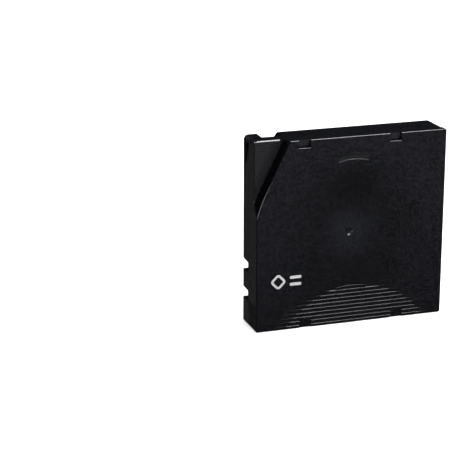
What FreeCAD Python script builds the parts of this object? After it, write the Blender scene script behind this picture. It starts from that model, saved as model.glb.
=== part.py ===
import FreeCAD, Part
import math
import os
import re
import Sketcher
from FreeCAD import Vector

# Half-inch single-reel tape cartridge, standing on its label end.
# X runs across the width, Y through the thickness (the grip face looks along -Y) and Z along the
# way the cartridge goes into a drive. The origin is the centre of the end that it stands on.

# Driving sizes in millimetres and degrees
sizes = {
    # reel, measured from the tape outwards
    "tape_width": 12.65,
    "tape_radius": 37.25,
    "tape_gap": 13.0,
    "wrap_gap": 0.05,
    "flange_radius": 48.5,
    "flange_thickness": 1.1,
    "hub_radius": 22.0,
    "hub_wall": 2.2,
    "hub_floor_top": 5.0,
    "hub_floor": 2.0,
    # room round the reel and the walls of the case
    "wall": 2.0,
    "root": 0.3,
    "reel_left_gap": 0.7,
    "reel_end_gap": 0.5,
    "reel_float": 0.15,
    "seat_height": 1.0,
    "seat_width": 2.5,
    "opening_gap": 3.5,
    # drive gear under the hub
    "gear_inner": 15.5,
    "gear_outer": 19.5,
    "gear_teeth": 60,
    "gear_tooth_width": 1.45,
    "gear_tooth_height": 1.0,
    "gear_sunk": 0.45,
    "tooth_inset": 0.2,
    "plate_inner": 5.5,
    "plate_edge_gap": 1.0,
    "plate_thickness": 1.0,
    # reel brake and its release
    "brake_inner": 12.0,
    "brake_outer": 14.5,
    "brake_teeth": 24,
    "brake_tooth_width": 2.4,
    "brake_tooth_height": 1.4,
    "brake_tooth_gap": 0.2,
    "brake_post": 1.7,
    "brake_slot": 9.2,
    "brake_rim": 0.5,
    "brake_disc": 1.6,
    "brake_tube": 6.0,
    "brake_tube_length": 4.0,
    "key_size": 5.6,
    "key_gap": 0.2,
    "key_length": 7.5,
    "release_travel": 1.8,
    "release_gap": 0.1,
    "release_radius": 9.0,
    "release_thickness": 1.5,
    "arm_count": 3,
    "arm_width": 4.5,
    "leg_radius": 17.5,
    "leg_width": 3.0,
    "leg_depth": 2.4,
    "leg_gap": 0.2,
    "leg_sunk": 0.85,
    "button_radius": 3.0,
    "button_gap": 0.05,
    "brake_spring_radius": 8.5,
    "brake_spring_wire": 1.1,
    "brake_spring_turns": 3,
    # door in the right wall
    "door_thickness": 1.5,
    "door_gap": 0.2,
    "door_edge_gap": 0.45,
    "door_overlap": 1.5,
    "door_travel": 20.0,
    "rail_width": 0.8,
    "rail_height": 1.2,
    "rail_gap": 1.0,
    "window_height": 22.0,
    "window_edge": 0.75,
    "window_front": 4.0,
    "spring_inset": 1.6,
    "spring_level": 2.0,
    "spring_wire": 0.5,
    "spring_radius": 1.05,
    "spring_turns": 12,
    "spring_length": 39.0,
    "spring_rod": 0.6,
    "spring_rod_length": 6.0,
    "spring_foot": 1.2,
    "spring_foot_width": 3.0,
    "spring_seat": 2.0,
    # leader pin, its clip and its spring
    "pin_inset": 6.2,
    "pin_front": 9.0,
    "pin_radius": 1.25,
    "pin_head": 2.2,
    "pin_head_height": 1.4,
    "pin_end_gap": 0.35,
    "pin_gap": 0.2,
    "pin_seat_wall": 1.0,
    "pin_seat_height": 1.6,
    "clip_gap": 0.1,
    "clip_wall": 0.95,
    "clip_slit": 0.8,
    "clip_length": 12.4,
    "leader_thickness": 0.2,
    "leader_gap": 0.4,
    "leaf_thickness": 0.35,
    "leaf_width": 1.3,
    "leaf_gap": 0.2,
    "leaf_tip": 3.0,
    "leaf_length": 8.5,
    # screws, driven from the hub side
    "screw_radius": 1.2,
    "screw_head": 2.5,
    "screw_head_height": 2.0,
    "screw_sunk": 0.55,
    "screw_length": 11.8,
    "screw_gap": 0.05,
    "screw_head_gap": 0.3,
    "screw_tip_gap": 0.6,
    "boss_radius": 3.0,
    "screw_side_inset": 6.7,
    "screw_front_right_inset": 19.7,
    "screw_rear_left_inset": 21.7,
    "screw_front_inset": 6.2,
    "screw_rear_inset": 6.5,
    # memory board, slanted across the rear left corner, and the write-protect tab
    "memory_leg": 6.2,
    "memory_width": 12.0,
    "memory_length": 8.0,
    "memory_thickness": 0.6,
    "memory_inset": 1.0,
    "gusset": 1.2,
    "chip_size": 3.0,
    "chip_height": 0.5,
    "tab_inset": 4.7,
    "tab_window": 11.0,
    "tab_window_height": 5.0,
    "tab_window_level": 4.0,
    "tab_travel": 5.0,
    "tab_gap": 0.1,
    "tab_flange": 1.2,
    "tab_margin": 0.8,
    "tab_sunk": 0.4,
    "tab_rib": 1.0,
    "tab_rib_height": 3.2,
    # outside of the case: edges and corners
    "front_corner": 2.5,
    "corner_cut": 1.5,
    "corner_ledge": 4.5,
    "plan_corner": 1.0,
    "edge_round": 0.6,
    "seam": 0.25,
    "seam_level": 2.0,
    # slanted guide recess at the front left of the grip face
    "guide_bulge": 0.85,
    "guide_angle": 26.25,
    "guide_depth": 4.8,
    "guide_slope": 25.6,
    "guide_wall": 1.4,
    "guide_foot": 1.2,
    "guide_overrun": 6.0,
    "guide_edge": 0.45,
    "guide_edge_stop": 4.2,
    # notches in the front and rear edges of the grip face
    "notch_offset": 25.25,
    "rear_notch_offset": 26.0,
    "rear_notch_shift": 2.2,
    "notch_width": 6.6,
    "notch_height": 4.2,
    "notch_depth": 2.6,
    "notch_lip": 0.35,
    "rear_notch_depth": 1.0,
    "notch_floor": 1.2,
    # arc mark near the front and the moulding gate in the middle
    "mark_radius": 27.0,
    "mark_front": 11.8,
    "mark_offset": 2.0,
    "mark_angle": 36.0,
    "mark_ramp": 2.0,
    "mark_step": 0.45,
    "mark_depth": 0.35,
    "gate_radius": 2.1,
    "gate_floor": 1.2,
    "gate_depth": 1.0,
    "gate_nub": 0.6,
    "gate_nub_height": 0.6,
    # ribbed finger grip at the rear of the face
    "grip_offset": 2.0,
    "grip_top": 24.7,
    "grip_radius": 52.0,
    "grip_slope": 4.0,
    "grip_depth": 0.55,
    "ridge_first": 1.42,
    "ridge_pitch": 2.15,
    "ridge_count": 9,
    "ridge_width": 1.15,
    "ridge_crest": 0.55,
    "ridge_drop": 0.02,
    "ridge_arc": 20.0,
    # finger grooves in the side walls
    "groove_count": 6,
    "groove_width": 1.1,
    "groove_depth": 0.5,
    "groove_margin": 1.0,
    # gripper notches in the side walls of the hub half, and its front end
    "grab_rear": 13.6,
    "grab_step": 15.65,
    "grab_height": 6.05,
    "grab_slope": 3.4,
    "grab_depth": 2.8,
    "grab_floor": 1.4,
    "lead_left": 6.9,
    "lead_width": 11.5,
    "lead_left_slope": 2.7,
    "lead_right_slope": 2.0,
    "lead_depth": 3.0,
    "lead_floor": 1.4,
    "ramp_front": 2.5,
    "ramp_length": 14.5,
    "ramp_depth": 1.7,
    "ramp_rim": 2.6,
    "ramp_floor": 1.3,
    # shallow place for a label on the end that it stands on
    "label_left": 31.0,
    "label_right": 4.5,
    "label_edge": 2.2,
    "label_depth": 0.4,
}

# Places worked out from the driving sizes
places = {
    "door_room": "rail_gap + rail_width + 2 * door_gap + door_thickness",
    "half_inside": "flange_radius + (reel_left_gap + door_room) / 2",
    "half_width": "half_inside + wall",
    "inside": "tape_gap / 2 + flange_thickness + reel_float + seat_height",
    "face": "inside + wall",
    "cover_room": "inside + seam_level",
    "base_room": "inside - seam_level",
    "case_height": "2 * (flange_radius + reel_end_gap + wall)",
    "reel_x": "reel_left_gap + flange_radius - half_inside",
    "reel_z": "case_height / 2",
    "flange_low": "tape_gap / 2 + flange_thickness",
    "hub_inner": "hub_radius - hub_wall",
    "hub_floor_low": "hub_floor_top + hub_floor",
    "gear_tip": "face - gear_sunk",
    "gear_root": "gear_tip - gear_tooth_height",
    "opening_radius": "gear_outer + opening_gap",
    "brake_root": "hub_floor_top - brake_post",
    "brake_tip": "brake_root - brake_tooth_height",
    "disc_low": "brake_tip - brake_tooth_gap",
    "disc_top": "disc_low - brake_disc",
    "tube_top": "disc_top - brake_tube_length",
    "key_room": "key_length - inside + release_travel + key_gap",
    "release_low": "hub_floor_top - release_gap",
    "release_top": "release_low - release_thickness",
    "leg_tip": "face - leg_sunk",
    "guide_radius": "flange_radius + reel_left_gap + wall + guide_bulge",
    "guide_floor": "face - guide_depth",
    "guide_inside": "guide_floor - wall",
    "guide_rise": "case_height - reel_z - guide_radius * sin(guide_angle)",
    "guide_top": "reel_x - guide_radius * cos(guide_angle) + guide_rise * tan(guide_angle)",
    "door_x": "half_inside - door_gap - door_thickness",
    "door_half": "inside - door_edge_gap",
    "window_half": "inside - window_edge",
    "window_high": "case_height - wall - window_front",
    "window_low": "window_high - window_height",
    "door_high": "window_high + door_overlap + door_gap",
    "door_low": "window_low - door_overlap",
    "rail_x": "door_x - door_gap - rail_width",
    "spring_x": "half_inside - spring_inset",
    "spring_high": "door_low - spring_foot",
    "spring_low": "spring_high - spring_length",
    "pin_x": "half_inside - pin_inset",
    "pin_z": "case_height - wall - pin_front",
    "pin_half": "inside - pin_end_gap",
    "clip_inner": "pin_radius + clip_gap",
    "clip_outer": "clip_inner + clip_wall",
    "leader_radius": "tape_radius + leader_gap",
    "pin_reach": "sqrt((pin_x - reel_x)^2 + (pin_z - reel_z)^2)",
    "leader_angle": "atan2(pin_z - reel_z; pin_x - reel_x) - acos(leader_radius / pin_reach)",
    "leader_length": "sqrt(pin_reach^2 - leader_radius^2) - clip_outer",
    "screw_seat": "face - screw_sunk - screw_head_height",
    "screw_depth": "seam_level + screw_length - screw_seat + screw_tip_gap",
    "tab_x": "tab_inset + wall - half_width",
    "tab_low": "wall + door_gap",
    "tab_rib_low": "tab_low + tab_flange + door_gap",
    "notch_floor_y": "face - notch_depth - notch_floor",
    "mark_z": "case_height - mark_front - mark_radius",
    "grip_x": "reel_x + grip_offset",
    "grip_z": "grip_top - grip_radius",
    "arc_radius": "grip_radius - grip_slope",
    "strip_z": "case_height - wall - leaf_gap / 4 - leaf_thickness",
    "leaf_x": "pin_x + pin_head + leaf_gap",
}

doc = FreeCAD.newDocument("tape_cartridge")
dims = doc.addObject("Spreadsheet::Sheet", "dims")
spots = doc.addObject("Spreadsheet::Sheet", "spots")
words = re.compile(r"[a-z_]+")
normals = {"XZ_Plane": "-Y", "YZ_Plane": "+X", "XY_Plane": "+Z"}
roles = {}


# Writes a size as the sheets know it, so that a formula can use the plain names.
def sized(text):
    def owner(match):
        word = match[0]
        if word in sizes:
            return f"dims.{word}"
        if word in places:
            return f"spots.{word}"
        return word
    return words.sub(owner, text)


def number(name):
    sheet = dims if name in sizes else spots
    return float(sheet.get(name))


def fill_sheets():
    for row, (name, value) in enumerate(sizes.items(), start=1):
        dims.set(f"A{row}", name)
        dims.set(f"B{row}", str(value))
        dims.setAlias(f"B{row}", name)
    for row, name in enumerate(places, start=1):
        spots.set(f"A{row}", name)
        spots.setAlias(f"B{row}", name)
    doc.recompute()
    for row, formula in enumerate(places.values(), start=1):
        spots.set(f"B{row}", "=" + sized(formula).replace("spots.", ""))
    doc.recompute()


def bind(item, field, text):
    item.setExpression(field, sized(text))


def body(label, x="0", z="0"):
    made = doc.addObject("PartDesign::Body", label)
    made.Label = label
    bind(made, "Placement.Base.x", x)
    bind(made, "Placement.Base.z", z)
    return made


def box(left, right, low, high):
    return [(left, low), (right, low), (right, high), (left, high)]


# Opens a sketch on one of the body's own planes; level is its place along X, Y or Z.
def open_sketch(owner, name, role, level, across="0", up="0"):
    sketch = owner.newObject("Sketcher::SketchObject", f"{owner.Name}_{name}")
    plane = [item for item in owner.Origin.OriginFeatures if item.Role == role][0]
    sketch.AttachmentSupport = [(plane, "")]
    sketch.MapMode = "FlatFace"
    bind(sketch, "AttachmentOffset.Base.x", across)
    bind(sketch, "AttachmentOffset.Base.y", up)
    bind(sketch, "AttachmentOffset.Base.z", f"-({level})" if role == "XZ_Plane" else level)
    roles[sketch.Name] = role
    return sketch


# Holds a point of the sketch at a distance from the sketch's origin.
def hold(sketch, kind, line, point, text, guess):
    made = sketch.addConstraint(Sketcher.Constraint(kind, -1, 1, line, point, guess))
    bind(sketch, f"Constraints[{made}]", text)


def add_loop(sketch, corners):
    count = len(corners)
    first = sketch.GeometryCount
    turn = 2 * math.pi / count
    guess = [Vector(10 * math.cos(turn * step), 10 * math.sin(turn * step), 0) for step in range(count)]
    for step in range(count):
        sketch.addGeometry(Part.LineSegment(guess[step], guess[(step + 1) % count]), False)
    for step in range(count):
        follower = first + (step + 1) % count
        sketch.addConstraint(Sketcher.Constraint("Coincident", first + step, 2, follower, 1))
    for step, (across, up) in enumerate(corners):
        hold(sketch, "DistanceX", first + step, 1, across, guess[step].x)
        hold(sketch, "DistanceY", first + step, 1, up, guess[step].y)


def add_circle(sketch, across, up, radius):
    ring = sketch.addGeometry(Part.Circle(Vector(1, 1, 0), Vector(0, 0, 1), 1), False)
    hold(sketch, "DistanceX", ring, 3, across, 1)
    hold(sketch, "DistanceY", ring, 3, up, 1)
    made = sketch.addConstraint(Sketcher.Constraint("Radius", ring, 1))
    bind(sketch, f"Constraints[{made}]", radius)


def draw(owner, name, role, level, *loops, across="0", up="0"):
    sketch = open_sketch(owner, name, role, level, across, up)
    for loop in loops:
        add_loop(sketch, loop)
    return sketch


def draw_circles(owner, name, role, level, *circles):
    sketch = open_sketch(owner, name, role, level)
    for across, up, radius in circles:
        add_circle(sketch, across, up, radius)
    return sketch


# Adds the feature and makes sure that it changed the solid.
def feature(owner, kind, sketch):
    before = owner.Shape.Volume if owner.Tip else 0.0
    made = owner.newObject(f"PartDesign::{kind}", f"{sketch.Name}_{kind.lower()}")
    made.Profile = sketch
    return made, before


def settle(owner, made, before):
    doc.recompute()
    if "Invalid" in made.State or "Error" in made.State or made.Shape.isNull():
        raise RuntimeError(f"{made.Name} failed: {made.getStatusString()}")
    if abs(made.Shape.Volume - before) < 1e-6:
        raise RuntimeError(f"{made.Name} changed nothing")
    return made


def pad(owner, sketch, length, toward):
    made, before = feature(owner, "Pad", sketch)
    bind(made, "Length", length)
    made.Reversed = toward != normals[roles[sketch.Name]]
    return settle(owner, made, before)


def pocket(owner, sketch, depth, toward, taper="0"):
    made, before = feature(owner, "Pocket", sketch)
    bind(made, "Length", depth)
    bind(made, "TaperAngle", taper)
    made.Reversed = toward == normals[roles[sketch.Name]]
    return settle(owner, made, before)


def revolve(owner, kind, sketch, axis, angle="360"):
    made, before = feature(owner, kind, sketch)
    made.ReferenceAxis = (sketch, [axis])
    bind(made, "Angle", angle)
    made.Midplane = True
    return settle(owner, made, before)


def origin_axis(owner, role):
    return [item for item in owner.Origin.OriginFeatures if item.Role == role][0]


def around(owner, originals, count):
    before = owner.Shape.Volume
    made = owner.newObject("PartDesign::PolarPattern", f"{originals[0].Name}_ring")
    made.Originals = originals
    made.Axis = (origin_axis(owner, "Y_Axis"), [""])
    bind(made, "Occurrences", count)
    made.Angle = 360
    owner.Tip = made
    return settle(owner, made, before)


def along(owner, originals, role, pitch, count):
    before = owner.Shape.Volume
    made = owner.newObject("PartDesign::LinearPattern", f"{originals[0].Name}_row")
    made.Originals = originals
    made.Direction = (origin_axis(owner, role), [""])
    made.Mode = "Spacing"
    bind(made, "Offset", pitch)
    bind(made, "Occurrences", count)
    owner.Tip = made
    return settle(owner, made, before)


def mirror(owner, originals, role):
    before = owner.Shape.Volume
    made = owner.newObject("PartDesign::Mirrored", f"{originals[0].Name}_twin")
    made.Originals = originals
    made.MirrorPlane = (origin_axis(owner, role), [""])
    owner.Tip = made
    return settle(owner, made, before)


# Rounds or chamfers the edges that the test picks.
def ease(owner, kind, name, size, picked):
    before = owner.Shape.Volume
    tip = owner.Tip
    edges = [f"Edge{step}" for step, edge in enumerate(tip.Shape.Edges, start=1) if picked(edge)]
    made = owner.newObject(f"PartDesign::{kind}", f"{owner.Name}_{name}")
    made.Base = (tip, edges)
    bind(made, "Radius" if kind == "Fillet" else "Size", size)
    owner.Tip = made
    return settle(owner, made, before)


def near(value, target):
    return abs(value - target) < 1e-4


# True where the whole edge lies at one value of the coordinate that pick names.
def lies_at(edge, pick, target):
    ends = [vertex.Point for vertex in edge.Vertexes]
    ends.append(edge.valueAt((edge.FirstParameter + edge.LastParameter) / 2))
    return all(near(getattr(point, pick), target) for point in ends)


def runs_through(edge, x, z):
    return lies_at(edge, "x", x) and lies_at(edge, "z", z)


# Outline of the corner in front of the reel's rim: an arc about the reel axis that runs on, tangent,
# in a straight line to the front.
def draw_guide(owner, name, level, radius, left, high):
    sketch = open_sketch(owner, name, "XZ_Plane", level)
    centre = Vector(number("reel_x"), number("reel_z"), 0)
    reach = number("guide_radius")
    slant = math.radians(number("guide_angle"))
    start = centre + Vector(-reach, 0, 0)
    bend = centre + Vector(-reach * math.cos(slant), reach * math.sin(slant), 0)
    far = Vector(-2 * reach, 2 * reach, 0)
    top = Vector(bend.x + reach, far.y, 0)
    low = Vector(far.x, start.y, 0)
    circle = Part.Circle(centre, Vector(0, 0, 1), reach)
    sketch.addGeometry(Part.ArcOfCircle(circle, math.pi - slant, math.pi), False)
    route = [bend, top, far, low, start]
    for step in range(4):
        sketch.addGeometry(Part.LineSegment(route[step], route[step + 1]), False)
    for step in range(1, 4):
        sketch.addConstraint(Sketcher.Constraint("Coincident", step, 2, step + 1, 1))
    sketch.addConstraint(Sketcher.Constraint("Coincident", 0, 1, 1, 1))
    sketch.addConstraint(Sketcher.Constraint("Coincident", 0, 2, 4, 2))
    hold(sketch, "DistanceX", 0, 3, "reel_x", centre.x)
    hold(sketch, "DistanceY", 0, 3, "reel_z", centre.y)
    made = sketch.addConstraint(Sketcher.Constraint("Radius", 0, reach))
    bind(sketch, f"Constraints[{made}]", radius)
    hold(sketch, "DistanceY", 0, 2, "reel_z", start.y)
    hold(sketch, "DistanceY", 0, 1, f"reel_z + ({radius}) * sin(guide_angle)", bend.y)
    hold(sketch, "DistanceY", 1, 2, high, top.y)
    run = f"({high}) - reel_z - ({radius}) * sin(guide_angle)"
    hold(sketch, "DistanceX", 1, 2,
         f"reel_x - ({radius}) * cos(guide_angle) + ({run}) * tan(guide_angle)", top.x)
    hold(sketch, "DistanceX", 2, 2, left, far.x)
    hold(sketch, "DistanceY", 2, 2, high, far.y)
    hold(sketch, "DistanceX", 3, 2, left, low.x)
    hold(sketch, "DistanceY", 3, 2, "reel_z", low.y)
    return sketch


# Where the screws stand: across and up
screws = {
    "front_left": ("screw_side_inset - half_width", "case_height - screw_front_inset"),
    "front_right": ("half_width - screw_front_right_inset", "case_height - screw_front_inset"),
    "rear_left": ("screw_rear_left_inset - half_width", "screw_rear_inset"),
    "rear_right": ("half_width - screw_side_inset", "screw_rear_inset"),
}


# The two halves of the case share their plan, their window, their rails and the seats of the pin.
def case_blank(shell, room, toward):
    rim = box("-half_width", "half_width", "0", "case_height")
    pad(shell, draw(shell, "blank", "XZ_Plane", "seam_level", rim), f"{room} + wall", toward)


def case_hollow(shell, room, toward):
    hollow = box("-half_inside", "half_inside", "wall", "case_height - wall")
    pocket(shell, draw(shell, "hollow", "XZ_Plane", "seam_level", hollow), room, toward)


def case_window(shell, low, high):
    hole = box(low, high, "window_low", "window_high")
    pocket(shell, draw(shell, "window", "YZ_Plane", "half_width", hole), "wall", "-X")


def case_inner_ribs(shell, level, toward):
    rail = box("rail_x", "rail_x + rail_width", "door_low - door_travel", "door_high")
    pad(shell, draw(shell, "rail", "XZ_Plane", level, rail), "rail_height + root", toward)
    cup = "pin_head + pin_gap"
    rim = f"{cup} + pin_seat_wall"
    seat = [
        ("pin_x", f"pin_z + {rim}"),
        (f"pin_x - ({rim})", f"pin_z + {rim}"),
        (f"pin_x - ({rim})", f"pin_z - ({rim})"),
        ("pin_x", f"pin_z - ({rim})"),
        ("pin_x", f"pin_z - ({cup})"),
        (f"pin_x - ({cup})", f"pin_z - ({cup})"),
        (f"pin_x - ({cup})", f"pin_z + {cup}"),
        ("pin_x", f"pin_z + {cup}"),
    ]
    pad(shell, draw(shell, "pin_seat", "XZ_Plane", level, seat), "pin_seat_height + root", toward)


def at_screws(names, radius):
    return [(*screws[name], radius) for name in names]


def plan_corner(x, z):
    return lambda edge: runs_through(edge, x, z)


def seam_edges(shell):
    half_width, height = number("half_width"), number("case_height")

    def outer(edge):
        centre = edge.BoundBox.Center
        rim = abs(centre.x) > half_width - 0.5 or centre.z < 0.5 or centre.z > height - 0.5
        return rim and lies_at(edge, "y", number("seam_level"))
    ease(shell, "Chamfer", "seam_line", "seam", outer)


def cover_outside(cover):
    half_width, height = number("half_width"), number("case_height")
    face, floor = number("face"), number("guide_floor")
    ease(cover, "Fillet", "front_left", "front_corner", plan_corner(-half_width, height))
    square = [(half_width, height), (-half_width, 0.0), (half_width, 0.0)]
    ease(cover, "Fillet", "corners", "plan_corner",
         lambda edge: any(runs_through(edge, x, z) for x, z in square))
    cut = [
        ("half_width + root", "case_height + root"),
        ("half_width - corner_cut - root", "case_height + root"),
        ("half_width + root", "case_height - corner_cut - root"),
    ]
    pocket(cover, draw(cover, "corner_cut", "XZ_Plane", "seam_level", cut),
           "seam_level + face - corner_ledge", "-Y")
    case_hollow(cover, "cover_room", "-Y")
    block = draw_guide(cover, "guide_block", "-guide_inside", "guide_radius - guide_wall",
                       "root - half_width", "case_height - root")
    pad(cover, block, "inside - guide_inside + root", "-Y")
    recess = draw_guide(cover, "guide", "-face", "guide_radius",
                        "-half_width - guide_overrun", "case_height + guide_overrun")
    pocket(cover, recess, "guide_depth", "+Y", "-guide_slope")

    def foot(edge):
        bounds = edge.BoundBox
        inner = bounds.XMax > 1e-3 - half_width and bounds.ZMin < height - 1e-3
        corner = bounds.XMax < number("front_corner") - half_width + 1e-3
        return lies_at(edge, "y", -floor) and inner and not corner
    ease(cover, "Fillet", "guide_foot", "guide_foot", foot)
    ease(cover, "Fillet", "edges", "edge_round", lambda edge: lies_at(edge, "y", -face))
    bevel = [
        ("-guide_floor", "case_height - guide_edge"),
        ("-guide_floor", "case_height + root"),
        ("guide_edge + root - guide_floor", "case_height + root"),
    ]
    slant = draw(cover, "guide_edge", "YZ_Plane", "-half_width", bevel)
    pocket(cover, slant, "half_width + guide_top - guide_edge_stop", "+X")


def cover_notches(cover):
    half = "notch_width / 2"
    low = "case_height - notch_height"
    for side, sign in (("left", "-"), ("right", "+")):
        centre = f"reel_x {sign} notch_offset"
        back = box(f"{centre} - {half} - notch_floor", f"{centre} + {half} + notch_floor",
                   f"{low} - notch_floor", "case_height - root")
        pad(cover, draw(cover, f"back_{side}", "XZ_Plane", "-notch_floor_y", back),
            "inside - notch_floor_y + root", "-Y")
        cut = box(f"{centre} - {half}", f"{centre} + {half}", low, "case_height + root")
        pocket(cover, draw(cover, f"front_{side}", "XZ_Plane", "-face", cut), "notch_depth", "+Y")
        centre = f"reel_x + rear_notch_shift {sign} rear_notch_offset"
        cut = box(f"{centre} - {half}", f"{centre} + {half}", "-root", "notch_height")
        pocket(cover, draw(cover, f"rear_{side}", "XZ_Plane", "-face", cut), "rear_notch_depth", "+Y")
    face, lip = number("face"), number("case_height") - number("notch_height")
    ease(cover, "Fillet", "notch_lips", "notch_lip",
         lambda edge: lies_at(edge, "y", -face) and lies_at(edge, "z", lip))


def cover_bosses(cover):
    tall = at_screws(("front_right", "rear_left", "rear_right"), "boss_radius")
    pad(cover, draw_circles(cover, "bosses", "XZ_Plane", "seam_level", *tall), "cover_room + root", "-Y")
    low = at_screws(("front_left",), "boss_radius")
    pad(cover, draw_circles(cover, "low_boss", "XZ_Plane", "seam_level", *low),
        "seam_level + guide_inside + root", "-Y")
    bores = at_screws(screws, "screw_radius + screw_gap")
    pocket(cover, draw_circles(cover, "bores", "XZ_Plane", "seam_level", *bores), "screw_depth", "-Y")


def cover_inside(cover):
    half = "key_size / 2"
    key = box(f"reel_x - {half}", f"reel_x + {half}", f"reel_z - {half}", f"reel_z + {half}")
    pad(cover, draw(cover, "key", "XZ_Plane", "-inside - root", key), "key_length + root", "+Y")
    case_inner_ribs(cover, "-inside - root", "+Y")
    spring = "(spring_wire / 2 + spring_radius)"
    seat = box(f"spring_x - {spring} - root", "half_inside + root", "spring_low - spring_seat", "spring_low")
    pad(cover, draw(cover, "spring_seat", "XZ_Plane", "0", seat), "spring_level + spring_foot_width", "-Y")
    rib = box("-half_inside - root", "tab_x + tab_window + tab_margin",
              "tab_rib_low", "tab_rib_low + tab_rib")
    pad(cover, draw(cover, "tab_rib", "XZ_Plane", "-inside - root", rib), "tab_rib_height + root", "+Y")
    hole = box("tab_x", "tab_x + tab_window", "-tab_window_level - tab_window_height / 2",
               "tab_window_height / 2 - tab_window_level")
    pocket(cover, draw(cover, "tab_window", "XY_Plane", "0", hole), "wall", "+Z")


def cover_marks(cover):
    arc = [
        ("-face - root", "mark_radius + mark_ramp"),
        ("-face", "mark_radius + mark_ramp"),
        ("mark_depth - face", "mark_radius"),
        ("-face", "mark_radius - mark_step"),
        ("-face - root", "mark_radius - mark_step"),
    ]
    mark = draw(cover, "mark", "YZ_Plane", "reel_x + mark_offset", arc, up="mark_z")
    revolve(cover, "Groove", mark, "H_Axis", "mark_angle")
    nub_top = "gate_depth - gate_nub_height - face"
    cup = [
        ("0", "-face - root"),
        ("gate_radius", "-face - root"),
        ("gate_radius", "-face"),
        ("gate_floor", "gate_depth - face"),
        ("gate_nub", "gate_depth - face"),
        ("gate_nub", nub_top),
        ("0", nub_top),
    ]
    revolve(cover, "Groove", draw(cover, "gate", "XY_Plane", "reel_z", cup, across="reel_x"), "V_Axis")


def cover_grip(cover):
    dish = [
        ("-face - root", "root - grip_z"),
        ("grip_depth - face", "root - grip_z"),
        ("grip_depth - face", "arc_radius"),
        ("-face", "grip_radius"),
        ("-face - root", "grip_radius"),
    ]
    hollow = draw(cover, "dish", "YZ_Plane", "grip_x", dish, up="grip_z")
    revolve(cover, "Groove", hollow, "H_Axis")
    crest = "ridge_drop - face"
    foot = "grip_depth + root - face"
    section = [
        (foot, "ridge_first - ridge_width / 2"),
        (foot, "ridge_first + ridge_width / 2"),
        (crest, "ridge_first + ridge_crest / 2"),
        (crest, "ridge_first - ridge_crest / 2"),
    ]
    reach = "sqrt(grip_radius^2 - grip_z^2)"
    ridge = draw(cover, "ridge", "YZ_Plane", f"grip_x - {reach}", section)
    bar = pad(cover, ridge, f"2 * {reach}", "+X")
    along(cover, [bar], "Z_Axis", "ridge_pitch", "ridge_count")
    bow = [
        (foot, "arc_radius - ridge_width / 2"),
        (foot, "arc_radius + ridge_width / 2"),
        (crest, "arc_radius + ridge_crest / 2"),
        (crest, "arc_radius - ridge_crest / 2"),
    ]
    arc = draw(cover, "ridge_arc", "YZ_Plane", "grip_x", bow, up="grip_z")
    revolve(cover, "Revolution", arc, "H_Axis", "ridge_arc")


def cover_grooves(cover):
    gap = box("groove_margin - face", "seam_level - groove_margin", "ridge_first + ridge_width / 2",
              "ridge_first + ridge_width / 2 + groove_width")
    left = draw(cover, "left_groove", "YZ_Plane", "-half_width", gap)
    along(cover, [pocket(cover, left, "groove_depth", "+X")], "Z_Axis", "ridge_pitch", "groove_count")
    right = draw(cover, "right_groove", "YZ_Plane", "half_width", gap)
    along(cover, [pocket(cover, right, "groove_depth", "-X")], "Z_Axis", "ridge_pitch", "groove_count")


def label_place(shell, low, high):
    place = box("label_left - half_width", "half_width - label_right", low, high)
    pocket(shell, draw(shell, "label", "XY_Plane", "0", place), "label_depth", "+Z")


def make_cover():
    cover = body("cover_shell")
    case_blank(cover, "cover_room", "-Y")
    cover_outside(cover)
    cover_grip(cover)
    cover_notches(cover)
    case_window(cover, "-window_half", "seam_level + root")
    cover_bosses(cover)
    cover_inside(cover)
    cover_marks(cover)
    cover_grooves(cover)
    label_place(cover, "label_edge - notch_floor_y", "seam_level + root")
    seam_edges(cover)
    return cover


def base_outside(base):
    half_width, height = number("half_width"), number("case_height")
    face = number("face")
    ease(base, "Fillet", "front_left", "front_corner", plan_corner(-half_width, height))
    ease(base, "Chamfer", "front_right", "corner_cut", plan_corner(half_width, height))
    square = [(-half_width, 0.0), (half_width, 0.0)]
    ease(base, "Fillet", "corners", "plan_corner",
         lambda edge: any(runs_through(edge, x, z) for x, z in square))
    ease(base, "Fillet", "edges", "edge_round", lambda edge: lies_at(edge, "y", face))
    case_hollow(base, "base_room", "+Y")


# A gripper notch runs through the whole side wall of the hub half, with a slanted front side.
def grab_notch(base, name, side, low):
    sign, toward = ("-", "+") if side == "left" else ("", "-")
    high = f"{low} + grab_height"
    deep = "half_width - grab_depth"
    behind = f"{deep} - grab_floor"
    back = [
        (f"{sign}(half_width - root)", f"{low} - grab_floor"),
        (f"{sign}({behind})", f"{low} - grab_floor"),
        (f"{sign}({behind})", f"{high} - grab_slope + grab_floor / 2"),
        (f"{sign}(half_width - root)", f"{high} + grab_floor"),
    ]
    pad(base, draw(base, f"back_{name}", "XZ_Plane", "seam_level", back), "base_room + root", "+Y")
    cut = [
        (f"{sign}(half_width + root)", low),
        (f"{sign}({deep})", low),
        (f"{sign}({deep})", f"{high} - grab_slope"),
        (f"{sign}half_width", high),
        (f"{sign}(half_width + root)", high),
    ]
    notch = draw(base, f"notch_{name}", "XZ_Plane", "seam_level - root", cut)
    pocket(base, notch, "base_room + wall + 2 * root", "+Y")


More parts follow.
